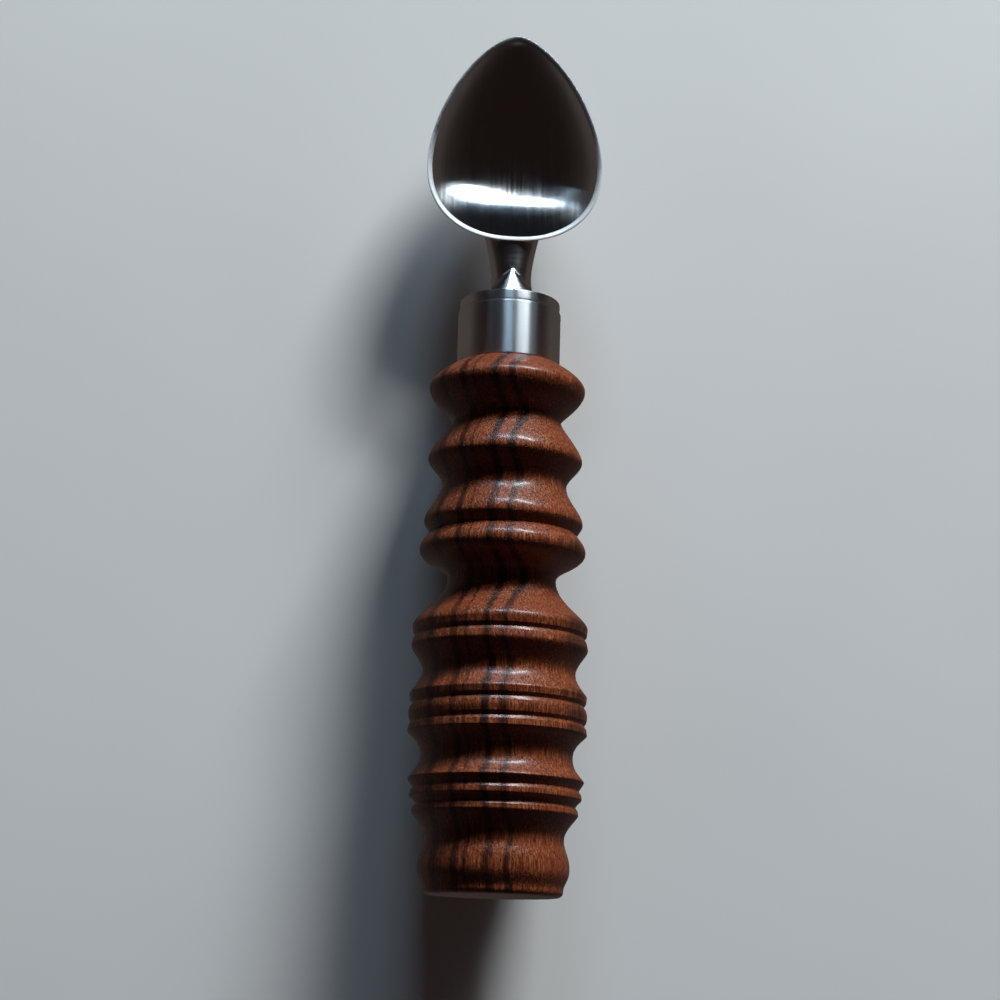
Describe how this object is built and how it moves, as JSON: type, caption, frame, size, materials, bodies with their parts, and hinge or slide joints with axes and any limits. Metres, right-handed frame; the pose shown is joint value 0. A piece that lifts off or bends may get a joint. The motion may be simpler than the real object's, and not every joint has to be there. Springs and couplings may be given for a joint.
{
  "type": "ice cream scoop",
  "caption": "Ice-cream scoop with a pointed spade-shaped steel bowl on a round neck, a steel ferrule and a turned dark hardwood handle; the head unscrews.",
  "frame": {"origin": "centre of the flat butt face of the handle", "axes": "+Y along the tool from the butt to the tip of the bowl, +Z the way the bowl opens, +X to the right seen from the butt"},
  "size_m": [0.044, 0.2167, 0.0426],
  "materials": {
    "dark_hardwood": "satin oiled, dark streaks along the grain",
    "brass": "turned",
    "satin_steel": "turned and lightly polished",
    "polished_steel": "polished",
    "plated_steel": "zinc plated"
  },
  "bodies": {
    "handle": {"wooden_handle": "dark_hardwood", "threaded_insert": "brass"},
    "collar": {"ferrule": "satin_steel"},
    "head": {"scoop_head": "polished_steel", "threaded_stud": "plated_steel"}
  },
  "joints": [
    {"name": "collar_slide", "type": "slide", "parent": "handle", "child": "collar", "axis": [0, 1, 0], "range_m": [0, 0.0159]},
    {"name": "head_turn", "type": "hinge", "parent": "collar", "child": "head", "pos_m": [0, 0.1428, 0], "axis": [0, 1, 0], "range_deg": [0, 3600]}
  ],
  "couplings": [
    {"joint": "collar_slide", "follows": "head_turn", "m_per_rad": 0.00025266}
  ]
}
